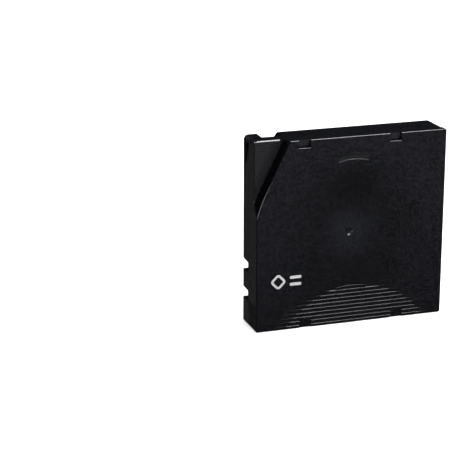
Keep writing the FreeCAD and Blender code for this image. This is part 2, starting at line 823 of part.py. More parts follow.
# The notch in the front end of the hub half, with slanted sides.
def lead_notch(base):
    left = "lead_left - half_width"
    right = f"{left} + lead_width"
    deep = "case_height - lead_depth"
    back = [
        (f"{left} - lead_floor", "case_height - root"),
        (f"{left} + lead_left_slope - lead_floor", f"{deep} - lead_floor"),
        (f"{right} - lead_right_slope + lead_floor", f"{deep} - lead_floor"),
        (f"{right} + lead_floor", "case_height - root"),
    ]
    pad(base, draw(base, "back_lead", "XZ_Plane", "seam_level", back), "base_room + root", "+Y")
    cut = [
        (left, "case_height + root"),
        (left, "case_height"),
        (f"{left} + lead_left_slope", deep),
        (f"{right} - lead_right_slope", deep),
        (right, "case_height"),
        (right, "case_height + root"),
    ]
    notch = draw(base, "lead", "XZ_Plane", "seam_level - root", cut)
    pocket(base, notch, "base_room + wall + 2 * root", "+Y")


# The left wall falls away in a ramp towards the front, behind a rim on the hub side.
def front_ramp(base):
    high = "case_height - ramp_front"
    low = f"{high} - ramp_length"
    back = [
        ("root - half_width", "case_height - root"),
        ("ramp_depth + ramp_floor - half_width", "case_height - root"),
        ("ramp_depth + ramp_floor - half_width", high),
        ("root - half_width", low),
    ]
    pad(base, draw(base, "back_ramp", "XZ_Plane", "seam_level", back), "base_room + root", "+Y")
    cut = [
        ("-half_width - root", high),
        ("ramp_depth - half_width", high),
        ("-half_width", low),
        ("-half_width - root", low),
    ]
    pocket(base, draw(base, "ramp", "XZ_Plane", "seam_level - root", cut),
           "base_room + wall - ramp_rim + root", "+Y")


def base_opening(base):
    ring = draw_circles(base, "seat", "XZ_Plane", "inside + root",
                        ("reel_x", "reel_z", "opening_radius + seat_width"))
    pad(base, ring, "seat_height + root", "-Y")
    hole = draw_circles(base, "opening", "XZ_Plane", "face", ("reel_x", "reel_z", "opening_radius"))
    pocket(base, hole, "wall + seat_height + root", "-Y")
    face = number("face")

    def mouth(edge):
        return lies_at(edge, "y", face) and edge.Length > 2 * number("opening_radius")\
            and near(edge.BoundBox.XLength, 2 * number("opening_radius"))
    ease(base, "Chamfer", "mouth", "edge_round", mouth)


def base_bosses(base):
    posts = at_screws(screws, "boss_radius")
    pad(base, draw_circles(base, "bosses", "XZ_Plane", "seam_level", *posts), "base_room + root", "+Y")
    heads = at_screws(screws, "screw_head + screw_head_gap")
    pocket(base, draw_circles(base, "heads", "XZ_Plane", "face", *heads), "face - screw_seat", "-Y")
    bores = at_screws(screws, "screw_radius + screw_gap")
    pocket(base, draw_circles(base, "bores", "XZ_Plane", "face", *bores), "face + root", "-Y")


# Two gussets carry the memory board across the corner of the base and the rear wall.
def memory_gussets(base):
    slant = [
        ("inside + root", "wall - root"),
        ("inside + root", "wall + memory_leg + root"),
        ("inside - memory_leg - root", "wall - root"),
    ]
    left = "memory_inset - half_inside"
    for name, place in (("left", left), ("right", f"{left} + memory_width - gusset")):
        pad(base, draw(base, f"gusset_{name}", "YZ_Plane", place, slant), "gusset", "+X")


def make_base():
    base = body("base_shell")
    case_blank(base, "base_room", "+Y")
    base_outside(base)
    base_opening(base)
    grab_notch(base, "left_rear", "left", "grab_rear")
    grab_notch(base, "left_front", "left", "grab_rear + grab_step")
    grab_notch(base, "right_rear", "right", "grab_rear")
    lead_notch(base)
    front_ramp(base)
    case_window(base, "seam_level - root", "window_half")
    base_bosses(base)
    case_inner_ribs(base, "inside + root", "-Y")
    memory_gussets(base)
    label_place(base, "seam_level - root", "face - label_edge")
    return base


def reel_piece(label):
    return body(label, "reel_x", "reel_z")


# Turns a profile of radius and height about the body's own Y axis.
def turned(owner, name, profile):
    return revolve(owner, "Revolution", draw(owner, name, "XY_Plane", "0", profile), "V_Axis")


# A straight tooth of triangular section on a ring between two radii, short of both its edges.
def tooth(owner, name, foot, tip, width, inner, outer):
    section = [(foot, f"-{width} / 2"), (foot, f"{width} / 2"), (tip, "0")]
    return pad(owner, draw(owner, name, "YZ_Plane", f"{inner} + tooth_inset", section),
               f"{outer} - {inner} - 2 * tooth_inset", "+X")


def make_reel_hub():
    hub = reel_piece("reel_hub")
    turned(hub, "profile", [
        ("0", "hub_floor_top"),
        ("brake_inner", "hub_floor_top"),
        ("brake_inner", "brake_root"),
        ("brake_outer", "brake_root"),
        ("brake_outer", "hub_floor_top"),
        ("hub_inner", "hub_floor_top"),
        ("hub_inner", "-tape_gap / 2"),
        ("hub_radius", "-tape_gap / 2"),
        ("hub_radius", "tape_gap / 2"),
        ("flange_radius", "tape_gap / 2"),
        ("flange_radius", "flange_low"),
        ("gear_outer", "flange_low"),
        ("gear_outer", "gear_root"),
        ("gear_inner", "gear_root"),
        ("gear_inner", "hub_floor_low"),
        ("0", "hub_floor_low"),
    ])
    gear = tooth(hub, "gear", "gear_root - root", "gear_tip", "gear_tooth_width", "gear_inner", "gear_outer")
    around(hub, [gear], "gear_teeth")
    brake = tooth(hub, "brake", "brake_root + root", "brake_tip", "brake_tooth_width",
                  "brake_inner", "brake_outer")
    around(hub, [brake], "brake_teeth")
    slot = box("brake_inner - root", "brake_outer + root", "-brake_slot / 2", "brake_slot / 2")
    room = pocket(hub, draw(hub, "slot", "XZ_Plane", "brake_tip - root", slot),
                  "hub_floor_top - brake_tip + root", "+Y")
    across, wide = "(leg_depth / 2 + leg_gap)", "(leg_width / 2 + leg_gap)"
    hole = box(f"leg_radius - {across}", f"leg_radius + {across}", f"-{wide}", wide)
    leg = pocket(hub, draw(hub, "leg", "XZ_Plane", "hub_floor_top - root", hole),
                 "gear_tip - hub_floor_top + 2 * root", "+Y")
    around(hub, [room], "arm_count")
    around(hub, [leg], "arm_count")
    return hub


def make_reel_flange():
    flange = reel_piece("reel_flange")
    turned(flange, "profile", box("hub_inner", "flange_radius", "-flange_low", "-tape_gap / 2"))
    return flange


def make_drive_plate():
    plate = reel_piece("drive_plate")
    turned(plate, "profile", box("plate_inner", "gear_inner - plate_edge_gap", "hub_floor_low",
                                 "hub_floor_low + plate_thickness"))
    return plate


def make_tape_pack():
    pack = reel_piece("tape_pack")
    turned(pack, "profile", box("hub_radius + wrap_gap", "tape_radius", "-tape_width / 2", "tape_width / 2"))
    return pack


def make_release_pad():
    release = reel_piece("release_pad")
    turned(release, "disc", box("0", "release_radius", "release_top", "release_low"))
    reach = "leg_radius + leg_depth / 2"
    arm = box("release_radius / 2", reach, "-arm_width / 2", "arm_width / 2")
    bar = pad(release, draw(release, "arm", "XZ_Plane", "release_top", arm), "release_thickness", "+Y")
    foot = box("leg_radius - leg_depth / 2", reach, "-leg_width / 2", "leg_width / 2")
    leg = pad(release, draw(release, "leg", "XZ_Plane", "release_low - root", foot),
              "leg_tip - release_low + root", "+Y")
    around(release, [bar, leg], "arm_count")
    return release


# The brake's teeth stand half a pitch on from the hub's, and its square key stays true to the case.
def make_brake_button():
    brake = reel_piece("brake_button")
    half_pitch = "180 / brake_teeth"
    brake.Placement.Rotation = FreeCAD.Rotation(Vector(0, 1, 0), 1)
    bind(brake, "Placement.Rotation.Angle", half_pitch)
    turned(brake, "profile", [
        ("0", "release_top - button_gap"),
        ("button_radius", "release_top - button_gap"),
        ("button_radius", "disc_low"),
        ("brake_outer + brake_rim", "disc_low"),
        ("brake_outer + brake_rim", "disc_top"),
        ("brake_tube", "disc_top"),
        ("brake_tube", "tube_top"),
        ("0", "tube_top"),
    ])
    catch = tooth(brake, "tooth", "disc_low - root", "disc_low + brake_tooth_height", "brake_tooth_width",
                  "brake_inner", "brake_outer")
    around(brake, [catch], "brake_teeth")
    half = "(key_size / 2 + key_gap) * sqrt(2)"
    turns = [f"45 + 90 * {step} + {half_pitch}" for step in range(4)]
    key = [(f"{half} * cos({turn})", f"{half} * sin({turn})") for turn in turns]
    pocket(brake, draw(brake, "key", "XZ_Plane", "tube_top", key), "key_room - tube_top", "+Y")
    return brake


# A coil along +Z of its own frame, from its first turn's middle to its last; the wire is square, with
# the section of the round one.
def coil(label, radius, wire, turns, length):
    path = doc.addObject("Part::Helix", f"{label}_path")
    bind(path, "Radius", radius)
    bind(path, "Pitch", f"({length}) / {turns}")
    bind(path, "Height", length)
    section = doc.addObject("Part::RegularPolygon", f"{label}_section")
    section.Polygon = 4
    bind(section, "Circumradius", f"{wire} * sqrt(pi / 8)")
    upright = FreeCAD.Rotation(Vector(1, 0, 0), 90)
    section.Placement.Rotation = upright * FreeCAD.Rotation(Vector(0, 0, 1), 45)
    bind(section, "Placement.Base.x", radius)
    made = doc.addObject("Part::Sweep", label)
    made.Label = label
    made.Sections = [section]
    made.Spine = (path, [])
    made.Solid = True
    made.Frenet = True
    return made


def make_brake_spring():
    spring = coil("brake_spring", "brake_spring_radius", "brake_spring_wire", "brake_spring_turns",
                  "disc_top + inside - brake_spring_wire - 2 * wrap_gap")
    spring.Placement.Rotation = FreeCAD.Rotation(Vector(1, 0, 0), -90)
    bind(spring, "Placement.Base.x", "reel_x")
    bind(spring, "Placement.Base.y", "wrap_gap + brake_spring_wire / 2 - inside")
    bind(spring, "Placement.Base.z", "reel_z")
    return spring


def make_door():
    door = body("door")
    plate = box("-door_half", "door_half", "door_low", "door_high")
    pad(door, draw(door, "plate", "YZ_Plane", "door_x", plate), "door_thickness", "+X")
    half = "spring_foot_width / 2"
    foot = box(f"spring_x - {half} + root", "door_x + door_thickness",
               f"-spring_level - {half}", f"{half} - spring_level")
    pad(door, draw(door, "foot", "XY_Plane", "spring_high", foot), "spring_foot + root", "+Z")
    rod = draw_circles(door, "rod", "XY_Plane", "spring_high + root",
                       ("spring_x", "-spring_level", "spring_rod"))
    pad(door, rod, "spring_rod_length + root", "-Z")
    return door


def make_door_spring():
    spring = coil("door_spring", "spring_radius", "spring_wire", "spring_turns",
                  "spring_length - spring_wire - 2 * wrap_gap")
    bind(spring, "Placement.Base.x", "spring_x")
    bind(spring, "Placement.Base.y", "-spring_level")
    bind(spring, "Placement.Base.z", "spring_low + wrap_gap + spring_wire / 2")
    return spring


def make_leader_pin():
    pin = body("leader_pin", "pin_x", "pin_z")
    neck = "pin_half - pin_head_height"
    turned(pin, "profile", [
        ("0", "-pin_half"),
        ("pin_head", "-pin_half"),
        ("pin_head", f"-({neck})"),
        ("pin_radius", f"-({neck})"),
        ("pin_radius", neck),
        ("pin_head", neck),
        ("pin_head", "pin_half"),
        ("0", "pin_half"),
    ])
    return pin


def make_leader_clip():
    clip = body("leader_clip", "pin_x", "pin_z")
    half = "clip_length / 2"
    turned(clip, "sleeve", box("clip_inner", "clip_outer", f"-{half}", half))
    slit = box("-clip_slit / 2", "clip_slit / 2", "-clip_outer - root", "0")
    pocket(clip, draw(clip, "slit", "XZ_Plane", f"-{half} - root", slit), "clip_length + 2 * root", "+Y")
    return clip


# The free end of the tape runs straight from the pack's rim to the clip on the pin.
def make_tape_leader():
    leader = doc.addObject("Part::Box", "tape_leader")
    leader.Label = "tape_leader"
    bind(leader, "Length", "leader_thickness")
    bind(leader, "Width", "tape_width")
    bind(leader, "Height", "leader_length - wrap_gap")
    leader.Placement.Rotation = FreeCAD.Rotation(Vector(0, 1, 0), 1)
    bind(leader, "Placement.Rotation.Angle", "-leader_angle")
    bind(leader, "Placement.Base.x", "reel_x + leader_radius * cos(leader_angle)")
    bind(leader, "Placement.Base.y", "-tape_width / 2")
    bind(leader, "Placement.Base.z", "reel_z + leader_radius * sin(leader_angle)")
    return leader


# A strip along the front wall with two leaves that hold the ends of the pin.
def make_pin_spring():
    spring = body("pin_spring")
    outer = "leaf_x + leaf_thickness"
    strip = box(f"{outer} - leaf_length", outer, "strip_z", "strip_z + leaf_thickness")
    pad(spring, draw(spring, "strip", "XZ_Plane", "pin_half", strip), "2 * pin_half", "-Y")
    bend = "pin_z - pin_head"
    leaf = [
        ("leaf_x", "strip_z + root"),
        ("leaf_x", bend),
        ("leaf_x + leaf_gap", f"{bend} - leaf_tip + pin_gap"),
        (f"{outer} + leaf_gap", f"{bend} - leaf_tip"),
        (outer, bend),
        (outer, "strip_z + root"),
    ]
    near_leaf = draw(spring, "leaf", "XZ_Plane", "leaf_width - pin_half", leaf)
    mirror(spring, [pad(spring, near_leaf, "leaf_width", "-Y")], "XZ_Plane")
    return spring


def cylinder(name, radius, height, across, level, up):
    made = doc.addObject("Part::Cylinder", name)
    bind(made, "Radius", radius)
    bind(made, "Height", height)
    made.Placement.Rotation = FreeCAD.Rotation(Vector(1, 0, 0), -90)
    bind(made, "Placement.Base.x", across)
    bind(made, "Placement.Base.y", level)
    bind(made, "Placement.Base.z", up)
    return made


def make_case_screws():
    whole = []
    for name, (across, up) in screws.items():
        shank = cylinder(f"shank_{name}", "screw_radius", "screw_length + root", across,
                         "screw_seat - screw_length", up)
        head = cylinder(f"head_{name}", "screw_head", "screw_head_height", across, "screw_seat", up)
        screw = doc.addObject("Part::Fuse", f"screw_{name}")
        screw.Base = shank
        screw.Tool = head
        whole.append(screw)
    screws_node = doc.addObject("Part::Compound", "case_screws")
    screws_node.Label = "case_screws"
    screws_node.Links = whole
    return screws_node


# A flat block that lies on the gussets' slant, at an inset and a height above it.
def slanted_block(label, left, width, length, height, above):
    block = doc.addObject("Part::Box", label)
    block.Label = label
    bind(block, "Length", width)
    bind(block, "Width", length)
    bind(block, "Height", height)
    block.Placement.Rotation = FreeCAD.Rotation(Vector(1, 0, 0), 45)
    inset = f"(memory_leg - ({length}) * cos(45)) / 2"
    bind(block, "Placement.Base.x", left)
    bind(block, "Placement.Base.y", f"inside - memory_leg + {inset} - ({above}) * sin(45)")
    bind(block, "Placement.Base.z", f"wall + {inset} + ({above}) * cos(45)")
    return block


def make_memory_board():
    return slanted_block("memory_board", "memory_inset - half_inside", "memory_width", "memory_length",
                         "memory_thickness", "0")


def make_memory_chip():
    left = "memory_inset - half_inside + (memory_width - chip_size) / 2"
    return slanted_block("memory_chip", left, "chip_size", "chip_size", "chip_height", "memory_thickness")


def make_write_protect_tab():
    tab = body("write_protect_tab")
    nib_length = "tab_window - tab_travel - 2 * tab_gap"
    low = "-tab_window_level - tab_window_height / 2"
    high = "tab_window_height / 2 - tab_window_level"
    left, right = "tab_x + tab_gap", f"tab_x + tab_gap + {nib_length}"
    slab = box(f"{left} - tab_margin", f"{right} + tab_margin", f"{low} - tab_margin", f"{high} + tab_margin")
    pad(tab, draw(tab, "slab", "XY_Plane", "tab_low", slab), "tab_flange", "+Z")
    nib = box(left, right, f"{low} + tab_gap", f"{high} - tab_gap")
    pad(tab, draw(tab, "nib", "XY_Plane", "tab_sunk", nib), "tab_low - tab_sunk + root", "+Z")
    return tab


fill_sheets()
pieces = [
    make_cover(),
    make_base(),
    make_case_screws(),
    make_reel_hub(),
    make_reel_flange(),
    make_drive_plate(),
    make_tape_pack(),
    make_release_pad(),
    make_brake_button(),
    make_brake_spring(),
    make_door(),
    make_door_spring(),
    make_leader_pin(),
    make_leader_clip(),
    make_tape_leader(),
    make_pin_spring(),
    make_memory_board(),
    make_memory_chip(),
    make_write_protect_tab(),
]
doc.recompute()

# Nothing is written unless every object is sound.
failed = [item.Name for item in doc.Objects if "Invalid" in item.State or "Error" in item.State]
failed += [piece.Label for piece in pieces if piece.Shape.isNull() or not piece.Shape.isValid()]
if failed:
    raise RuntimeError(f"failed: {failed}")
os.makedirs("parts", exist_ok=True)
for piece in pieces:
    piece.Shape.exportStep(f"parts/{piece.Label}.step")
    print(piece.Label, round(piece.Shape.Volume, 1))
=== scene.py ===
import math

import bpy
from mathutils import Matrix, Vector


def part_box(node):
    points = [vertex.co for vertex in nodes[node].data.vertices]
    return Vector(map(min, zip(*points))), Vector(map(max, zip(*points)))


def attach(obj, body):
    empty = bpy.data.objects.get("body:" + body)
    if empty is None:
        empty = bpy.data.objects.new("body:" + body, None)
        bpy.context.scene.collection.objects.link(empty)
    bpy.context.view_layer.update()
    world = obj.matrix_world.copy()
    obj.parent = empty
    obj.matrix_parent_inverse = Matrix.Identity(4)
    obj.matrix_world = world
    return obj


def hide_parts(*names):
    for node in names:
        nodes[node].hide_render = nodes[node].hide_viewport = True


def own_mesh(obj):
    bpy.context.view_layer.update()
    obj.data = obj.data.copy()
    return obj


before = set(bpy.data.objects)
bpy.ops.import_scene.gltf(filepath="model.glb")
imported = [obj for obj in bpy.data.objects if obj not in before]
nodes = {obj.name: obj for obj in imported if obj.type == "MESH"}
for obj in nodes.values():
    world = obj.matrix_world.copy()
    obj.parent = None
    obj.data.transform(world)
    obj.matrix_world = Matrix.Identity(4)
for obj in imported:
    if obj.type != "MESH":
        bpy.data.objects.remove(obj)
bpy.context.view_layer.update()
print("frame loaded,", len(nodes), "nodes")

mm = 0.001
hair = 1e-6  # points closer than this are one point


# Shader maths: a socket that takes part in Python expressions
class Wire:
    def __init__(self, finish, socket):
        self.finish = finish
        self.socket = socket

    def math(self, operation, *others):
        return self.finish.node("Math", {"operation": operation}, self, *others)

    def __add__(self, other):
        return self.math("ADD", other)

    def __radd__(self, other):
        return self.math("ADD", other)

    def __sub__(self, other):
        return self.math("SUBTRACT", other)

    def __rsub__(self, other):
        return self.finish.node("Math", {"operation": "SUBTRACT"}, other, self)

    def __mul__(self, other):
        return self.math("MULTIPLY", other)

    def __rmul__(self, other):
        return self.math("MULTIPLY", other)

    def __pow__(self, other):
        return self.math("POWER", other)

    def larger(self, other):
        return self.math("MAXIMUM", other)

    def smooth(self, low, high):
        settings = {"interpolation_type": "SMOOTHSTEP"}
        return self.finish.node("MapRange", settings, self, low, high, 0.0, 1.0)

    def band(self, low, high, rim):
        return self.smooth(low - rim, low) * (1 - self.smooth(high, high + rim))


# One material: its nodes come from node(), which sets the settings first and then fills the sockets
class Finish:
    def __init__(self, name):
        self.material = bpy.data.materials.new(name)
        self.material.use_nodes = True
        self.tree = self.material.node_tree
        self.tree.nodes.clear()
        self.shader = self.tree.nodes.new("ShaderNodeBsdfPrincipled")
        self.output = self.tree.nodes.new("ShaderNodeOutputMaterial")
        self.tree.links.new(self.shader.outputs["BSDF"], self.output.inputs["Surface"])
        self.place = self.node("TexCoord", {}, take="Object")

    def fill(self, socket, value):
        if isinstance(value, Wire):
            self.tree.links.new(value.socket, socket)
        elif socket.type == "RGBA":
            socket.default_value = (*value, 1.0)
        else:
            socket.default_value = value

    def node(self, kind, settings, *values, take=0, **named):
        made = self.tree.nodes.new("ShaderNode" + kind)
        for key, value in settings.items():
            setattr(made, key, value)
        for step, value in enumerate(values):
            self.fill(made.inputs[step], value)
        for key, value in named.items():
            self.fill(made.inputs[key], value)
        return Wire(self, made.outputs[take])

    def noise(self, scale, detail, roughness, at=None):
        return self.node("TexNoise", {}, Vector=at or self.place, Scale=scale, Detail=detail,
                         Roughness=roughness)

    def axes(self):
        split = self.node("SeparateXYZ", {}, self.place)
        return [Wire(self, output) for output in split.socket.node.outputs]

    def distance(self, first, second):
        return (first ** 2.0 + second ** 2.0).math("SQRT")

    # Distance from a line through the case: its place across and up
    def awayFrom(self, centre):
        across, _, up = self.axes()
        return self.distance(across - centre[0], up - centre[1])

    # Fine rings of a wave along a length
    def rings(self, length, pitch):
        return (length * (2 * math.pi / pitch)).math("SINE") * 0.5 + 0.5

    def mix(self, factor, first, second):
        blend = self.node("Mix", {"data_type": "RGBA"}).socket.node
        sockets = {item.identifier: item for item in [*blend.inputs, *blend.outputs]}
        for name, value in (("Factor_Float", factor), ("A_Color", first), ("B_Color", second)):
            self.fill(sockets[name], value)
        return Wire(self, sockets["Result_Color"])

    def bump(self, height, strength, distance):
        self.set(Normal=self.node("Bump", {}, Strength=strength, Distance=distance, Height=height))

    def ray(self, kind):
        return self.node("LightPath", {}, take=kind)

    def cover(self, factor, other):
        blend = self.node("MixShader", {}, factor, Wire(self, self.shader.outputs["BSDF"]), other)
        self.tree.links.new(blend.socket, self.output.inputs["Surface"])

    def set(self, **values):
        for key, value in values.items():
            self.fill(self.shader.inputs[key.replace("_", " ")], value)


def paint(nodeName, finish):
    mesh = nodes[nodeName].data
    mesh.materials.clear()
    mesh.materials.append(finish.material)


def darker(colour, share):
    return tuple(part * share for part in colour)


# Black case moulding: spark-eroded grain, uneven gloss, a paler patch round the gate, a darker patch above
# it, a painted reflection that pales the face towards the upper rim, and painted shade, painted light and
# painted highlights in the guide, the notches and along edges
casePlastic = {
    "dark": (0.0003, 0.0004, 0.0009),
    "light": (0.0112, 0.0119, 0.0165),
    "paintedLight": (0.0245, 0.0247, 0.0275),
    "paintedHighlight": (0.080, 0.080, 0.083),
    "ior": 1.5,
    "grain": (1350.0, 1.0, 0.5),
    "grainRamp": (0.32, 0.68),
    "grainHeight": 0.00004,
    "grainStrength": 0.35,
    "cloud": (55.0, 3.0, 0.55),
    "cloudRamp": (0.30, 0.75),
    "cloudSway": 0.003,
    "gloss": (0.15, 0.27),
    "glossShares": {"grain": 0.7, "cloud": 0.3},
    "gateDulling": 0.28,
    "gateReach": (0.0014, 0.0022),
    "markDulling": 0.52,
    "faceBand": (-0.0107, -0.0098),
    "paleRoundGateRadius": 0.023,
    "paintedSheen": (0.019, 0.056),
    "paintedSheenRise": (-0.04, 0.10),
    "paintedSheenGrain": 1.5,
    "darkPatchAt": (0.001, 0.077),
    "darkPatchRadius": 0.024,
    "darkPatchDepth": 0.60,
    "shares": {"grain": 0.56, "cloud": 0.10, "paleRoundGate": 0.58, "paintedSheen": 0.34},
    "paintedLightGrain": (0.5, 0.4),
    "guideFoot": (-0.0395, 0.0980, 0.49),
    "guideShade": (-0.0075, 0.0005),
    "guidePaintedLight": (0.80, 0.60),
    "cornerPaintedLight": 0.5,
    "paintedHighlightFrom": (0.061, 0.071),
    "paintedHighlightTo": (0.071, 0.084),
}
# Zones of the case with painted light, painted shade or a painted highlight, or with duller gloss: x, y and
# z limits and a soft rim
caseZones = {
    "notchFloors": ((-0.0345, 0.0315), (-0.0083, -0.0079), (0.0983, 0.1014), 0.0003),
    "cornerCut": ((-0.0530, -0.0513), (-0.0060, 0.0107), (0.1006, 0.1025), 0.0003),
    "guideFloor": ((-0.0521, -0.0385), (-0.0061, -0.0058), (0.0600, 0.1016), 0.0003),
    "guideWall": ((-0.0520, -0.0360), (-0.0103, -0.0065), (0.0650, 0.1020), 0.0003),
    "faceEdge": ((-0.0530, -0.0523), (-0.0110, -0.0103), (0.0000, 0.1020), 0.0003),
    "guideEdge": ((-0.0530, -0.0524), (-0.0062, -0.0057), (0.0660, 0.1015), 0.0003),
    "guideLip": ((-0.0521, -0.0420), (-0.01073, -0.01055), (0.0590, 0.0900), 0.00002),
    "arcMark": ((-0.0100, 0.0110), (-0.01071, -0.0103), (0.0855, 0.0915), 0.00003),
}


def makeCasePlastic(centre):
    look = casePlastic
    shares = look["shares"]
    finish = Finish("casePlastic")
    grain = finish.noise(*look["grain"]).smooth(*look["grainRamp"])
    cloud = finish.noise(*look["cloud"]).smooth(*look["cloudRamp"])
    across, through, up = finish.axes()

    def zone(name):
        wide, deep, high, rim = caseZones[name]
        return across.band(*wide, rim) * through.band(*deep, rim) * up.band(*high, rim)

    # tones of black over the grip face: a paler patch round the gate, painted reflection towards the upper
    # rim, a darker patch above the gate, painted shade on the guide's wall and left edges
    sway = cloud * look["cloudSway"]
    fromGate = finish.awayFrom(centre)
    wavy = fromGate + sway
    onFace = 1 - through.smooth(*look["faceBand"])
    paleRoundGate = 1 - wavy.smooth(0.0, look["paleRoundGateRadius"])
    # painted reflection: the face is painted paler away from the gate and towards the upper rim
    paintedSheen = wavy.smooth(*look["paintedSheen"]) * up.smooth(*look["paintedSheenRise"]) * onFace
    paintedSheen = paintedSheen * ((grain - 0.5) * look["paintedSheenGrain"] + 1)
    # a darker patch above the gate
    fromDarkPatch = finish.awayFrom(look["darkPatchAt"]) + sway
    sink = (1 - fromDarkPatch.smooth(0.0, look["darkPatchRadius"])) * onFace * look["darkPatchDepth"]
    tone = grain * shares["grain"] + cloud * shares["cloud"]
    tone = tone + paleRoundGate * shares["paleRoundGate"] + paintedSheen * shares["paintedSheen"]
    # painted shade: the guide's wall and the left edges of the face and guide painted black
    shade = zone("guideWall").larger(zone("faceEdge")).larger(zone("guideEdge"))
    plain = finish.mix(tone * (1 - shade) * (1 - sink), look["dark"], look["light"])

    # painted light: paler notch floors, guide floor and corner cut, with painted shadow towards the guide's
    # wall; and a painted highlight along the guide's lip
    footAcross, footUp, lean = look["guideFoot"]
    # painted shadow: the guide floor is painted darker towards its wall
    toWall = (across - footAcross - (up - footUp) * lean).smooth(*look["guideShade"])
    outer, inner = look["guidePaintedLight"]
    guide = zone("guideFloor") * (outer - toWall * inner)
    # painted light: the notch floors, guide floor and corner cut painted paler
    paintedLight = zone("notchFloors").larger(guide).larger(zone("cornerCut") * look["cornerPaintedLight"])
    least, spread = look["paintedLightGrain"]
    colour = finish.mix(paintedLight * (grain * spread + least), plain, look["paintedLight"])
    # painted highlight: a pale band painted along the lower part of the guide's lip
    paintedHighlight = zone("guideLip") * up.smooth(*look["paintedHighlightFrom"]) * (1 - up.smooth(*look["paintedHighlightTo"]))
    finish.set(Base_Color=finish.mix(paintedHighlight, colour, look["paintedHighlight"]))

    # gloss: dull where the gate was torn off and in the arc mark
    low, high = look["gloss"]
    uneven = grain * look["glossShares"]["grain"] + cloud * look["glossShares"]["cloud"]
    torn = (1 - fromGate.smooth(*look["gateReach"])) * look["gateDulling"]
    dull = torn + zone("arcMark") * look["markDulling"]
    finish.set(Roughness=uneven * (high - low) + low + dull, IOR=look["ior"])
    finish.bump(grain, look["grainStrength"], look["grainHeight"])
    return finish


# Smooth moulded plastic: a plain colour with faint flow clouds
moulding = {
    "cloud": (140.0, 3.0, 0.5),
    "fine": (2600.0, 2.0, 0.6),
    "shade": 0.86,
    "spread": 0.12,
    "bump": (0.15, 0.00002),
    "ior": 1.5,
}
# Each moulded node: its finish, colour and roughness
mouldedNodes = {
    "door": ("doorPlastic", (0.012, 0.012, 0.0135), 0.34),
    "write_protect_tab": ("tabPlastic", (0.32, 0.022, 0.016), 0.36),
    "reel_hub": ("reelPlastic", (0.56, 0.56, 0.53), 0.38),
    "reel_flange": ("flangePlastic", (0.60, 0.60, 0.57), 0.36),
    "release_pad": ("releasePlastic", (0.70, 0.69, 0.64), 0.34),
    "brake_button": ("brakePlastic", (0.70, 0.69, 0.64), 0.34),
    "leader_clip": ("clipPlastic", (0.48, 0.48, 0.45), 0.40),
    "memory_chip": ("chipResin", (0.011, 0.011, 0.012), 0.5),
}


def makeMoulding(name, colour, rough):
    finish = Finish(name)
    cloud = finish.noise(*moulding["cloud"])
    fine = finish.noise(*moulding["fine"])
    finish.set(Base_Color=finish.mix(cloud, darker(colour, moulding["shade"]), colour))
    finish.set(Roughness=cloud * moulding["spread"] + (rough - moulding["spread"] / 2), IOR=moulding["ior"])
    finish.bump(fine, *moulding["bump"])
    return finish


# Steel with fine drawn or turned lines along one axis
drawnSteel = {
    "streak": (1.0, 3.0, 0.6),
    "cloud": (220.0, 2.0, 0.5),
    "shade": 0.82,
    "streakSpread": 0.16,
    "cloudSpread": 0.10,
    "bump": (0.2, 0.00002),
}


def makeSteel(name, colour, rough, stretch):
    finish = Finish(name)
    lines = finish.node("Mapping", {}, finish.place, Scale=stretch)
    streak = finish.noise(*drawnSteel["streak"], lines)
    cloud = finish.noise(*drawnSteel["cloud"])
    finish.set(Base_Color=finish.mix(streak, darker(colour, drawnSteel["shade"]), colour), Metallic=1.0)
    middle = (drawnSteel["streakSpread"] + drawnSteel["cloudSpread"]) / 2
    uneven = streak * drawnSteel["streakSpread"] + cloud * drawnSteel["cloudSpread"]
    finish.set(Roughness=uneven + (rough - middle))
    finish.bump(streak, *drawnSteel["bump"])
    return finish


# Drive plate: sheet steel with circular lathe lines about the reel's axis
plateSteel = {
    "colour": (0.55, 0.55, 0.56),
    "shade": 0.8,
    "pitch": 0.00045,
    "cloud": (300.0, 3.0, 0.6),
    "rough": 0.24,
    "ringSpread": 0.10,
    "cloudSpread": 0.14,
    "bump": (0.25, 0.00002),
}


def makePlateSteel(centre):
    finish = Finish("plateSteel")
    rings = finish.rings(finish.awayFrom(centre), plateSteel["pitch"])
    cloud = finish.noise(*plateSteel["cloud"])
    dull = darker(plateSteel["colour"], plateSteel["shade"])
    finish.set(Base_Color=finish.mix(rings * cloud, dull, plateSteel["colour"]), Metallic=1.0)
    uneven = rings * plateSteel["ringSpread"] + cloud * plateSteel["cloudSpread"]
    finish.set(Roughness=uneven + plateSteel["rough"])
    finish.bump(rings, *plateSteel["bump"])
    return finish


# Wound film: the edges of its turns show as fine rings
windings = {
    "colour": (0.030, 0.019, 0.013),
    "edge": (0.055, 0.038, 0.028),
    "pitch": 0.00022,
    "wander": 0.0006,
    "wanderNoise": (90.0, 2.0, 0.5),
    "rough": 0.22,
    "roughSpread": 0.12,
    "bump": (0.3, 0.00002),
    "ior": 1.6,
}


def makeFilm(centre):
    finish = Finish("woundFilm")
    wander = finish.noise(*windings["wanderNoise"]) * windings["wander"]
    turns = finish.rings(finish.awayFrom(centre) + wander, windings["pitch"])
    finish.set(Base_Color=finish.mix(turns, windings["colour"], windings["edge"]))
    finish.set(Roughness=turns * windings["roughSpread"] + windings["rough"], IOR=windings["ior"])
    finish.bump(turns, *windings["bump"])
    return finish


# Circuit board: green mask with a printed antenna loop that reads as lighter bands
laminate = {
    "greens": ((0.010, 0.060, 0.026), (0.016, 0.085, 0.036)),
    "loop": (0.05, 0.16, 0.07),
    "loopShare": 0.7,
    "loopWave": 5200.0,
    "loopRamp": (0.55, 0.8),
    "cloud": (900.0, 2.0, 0.5),
    "rough": 0.32,
    "roughSpread": 0.1,
    "bump": (0.3, 0.00003),
}


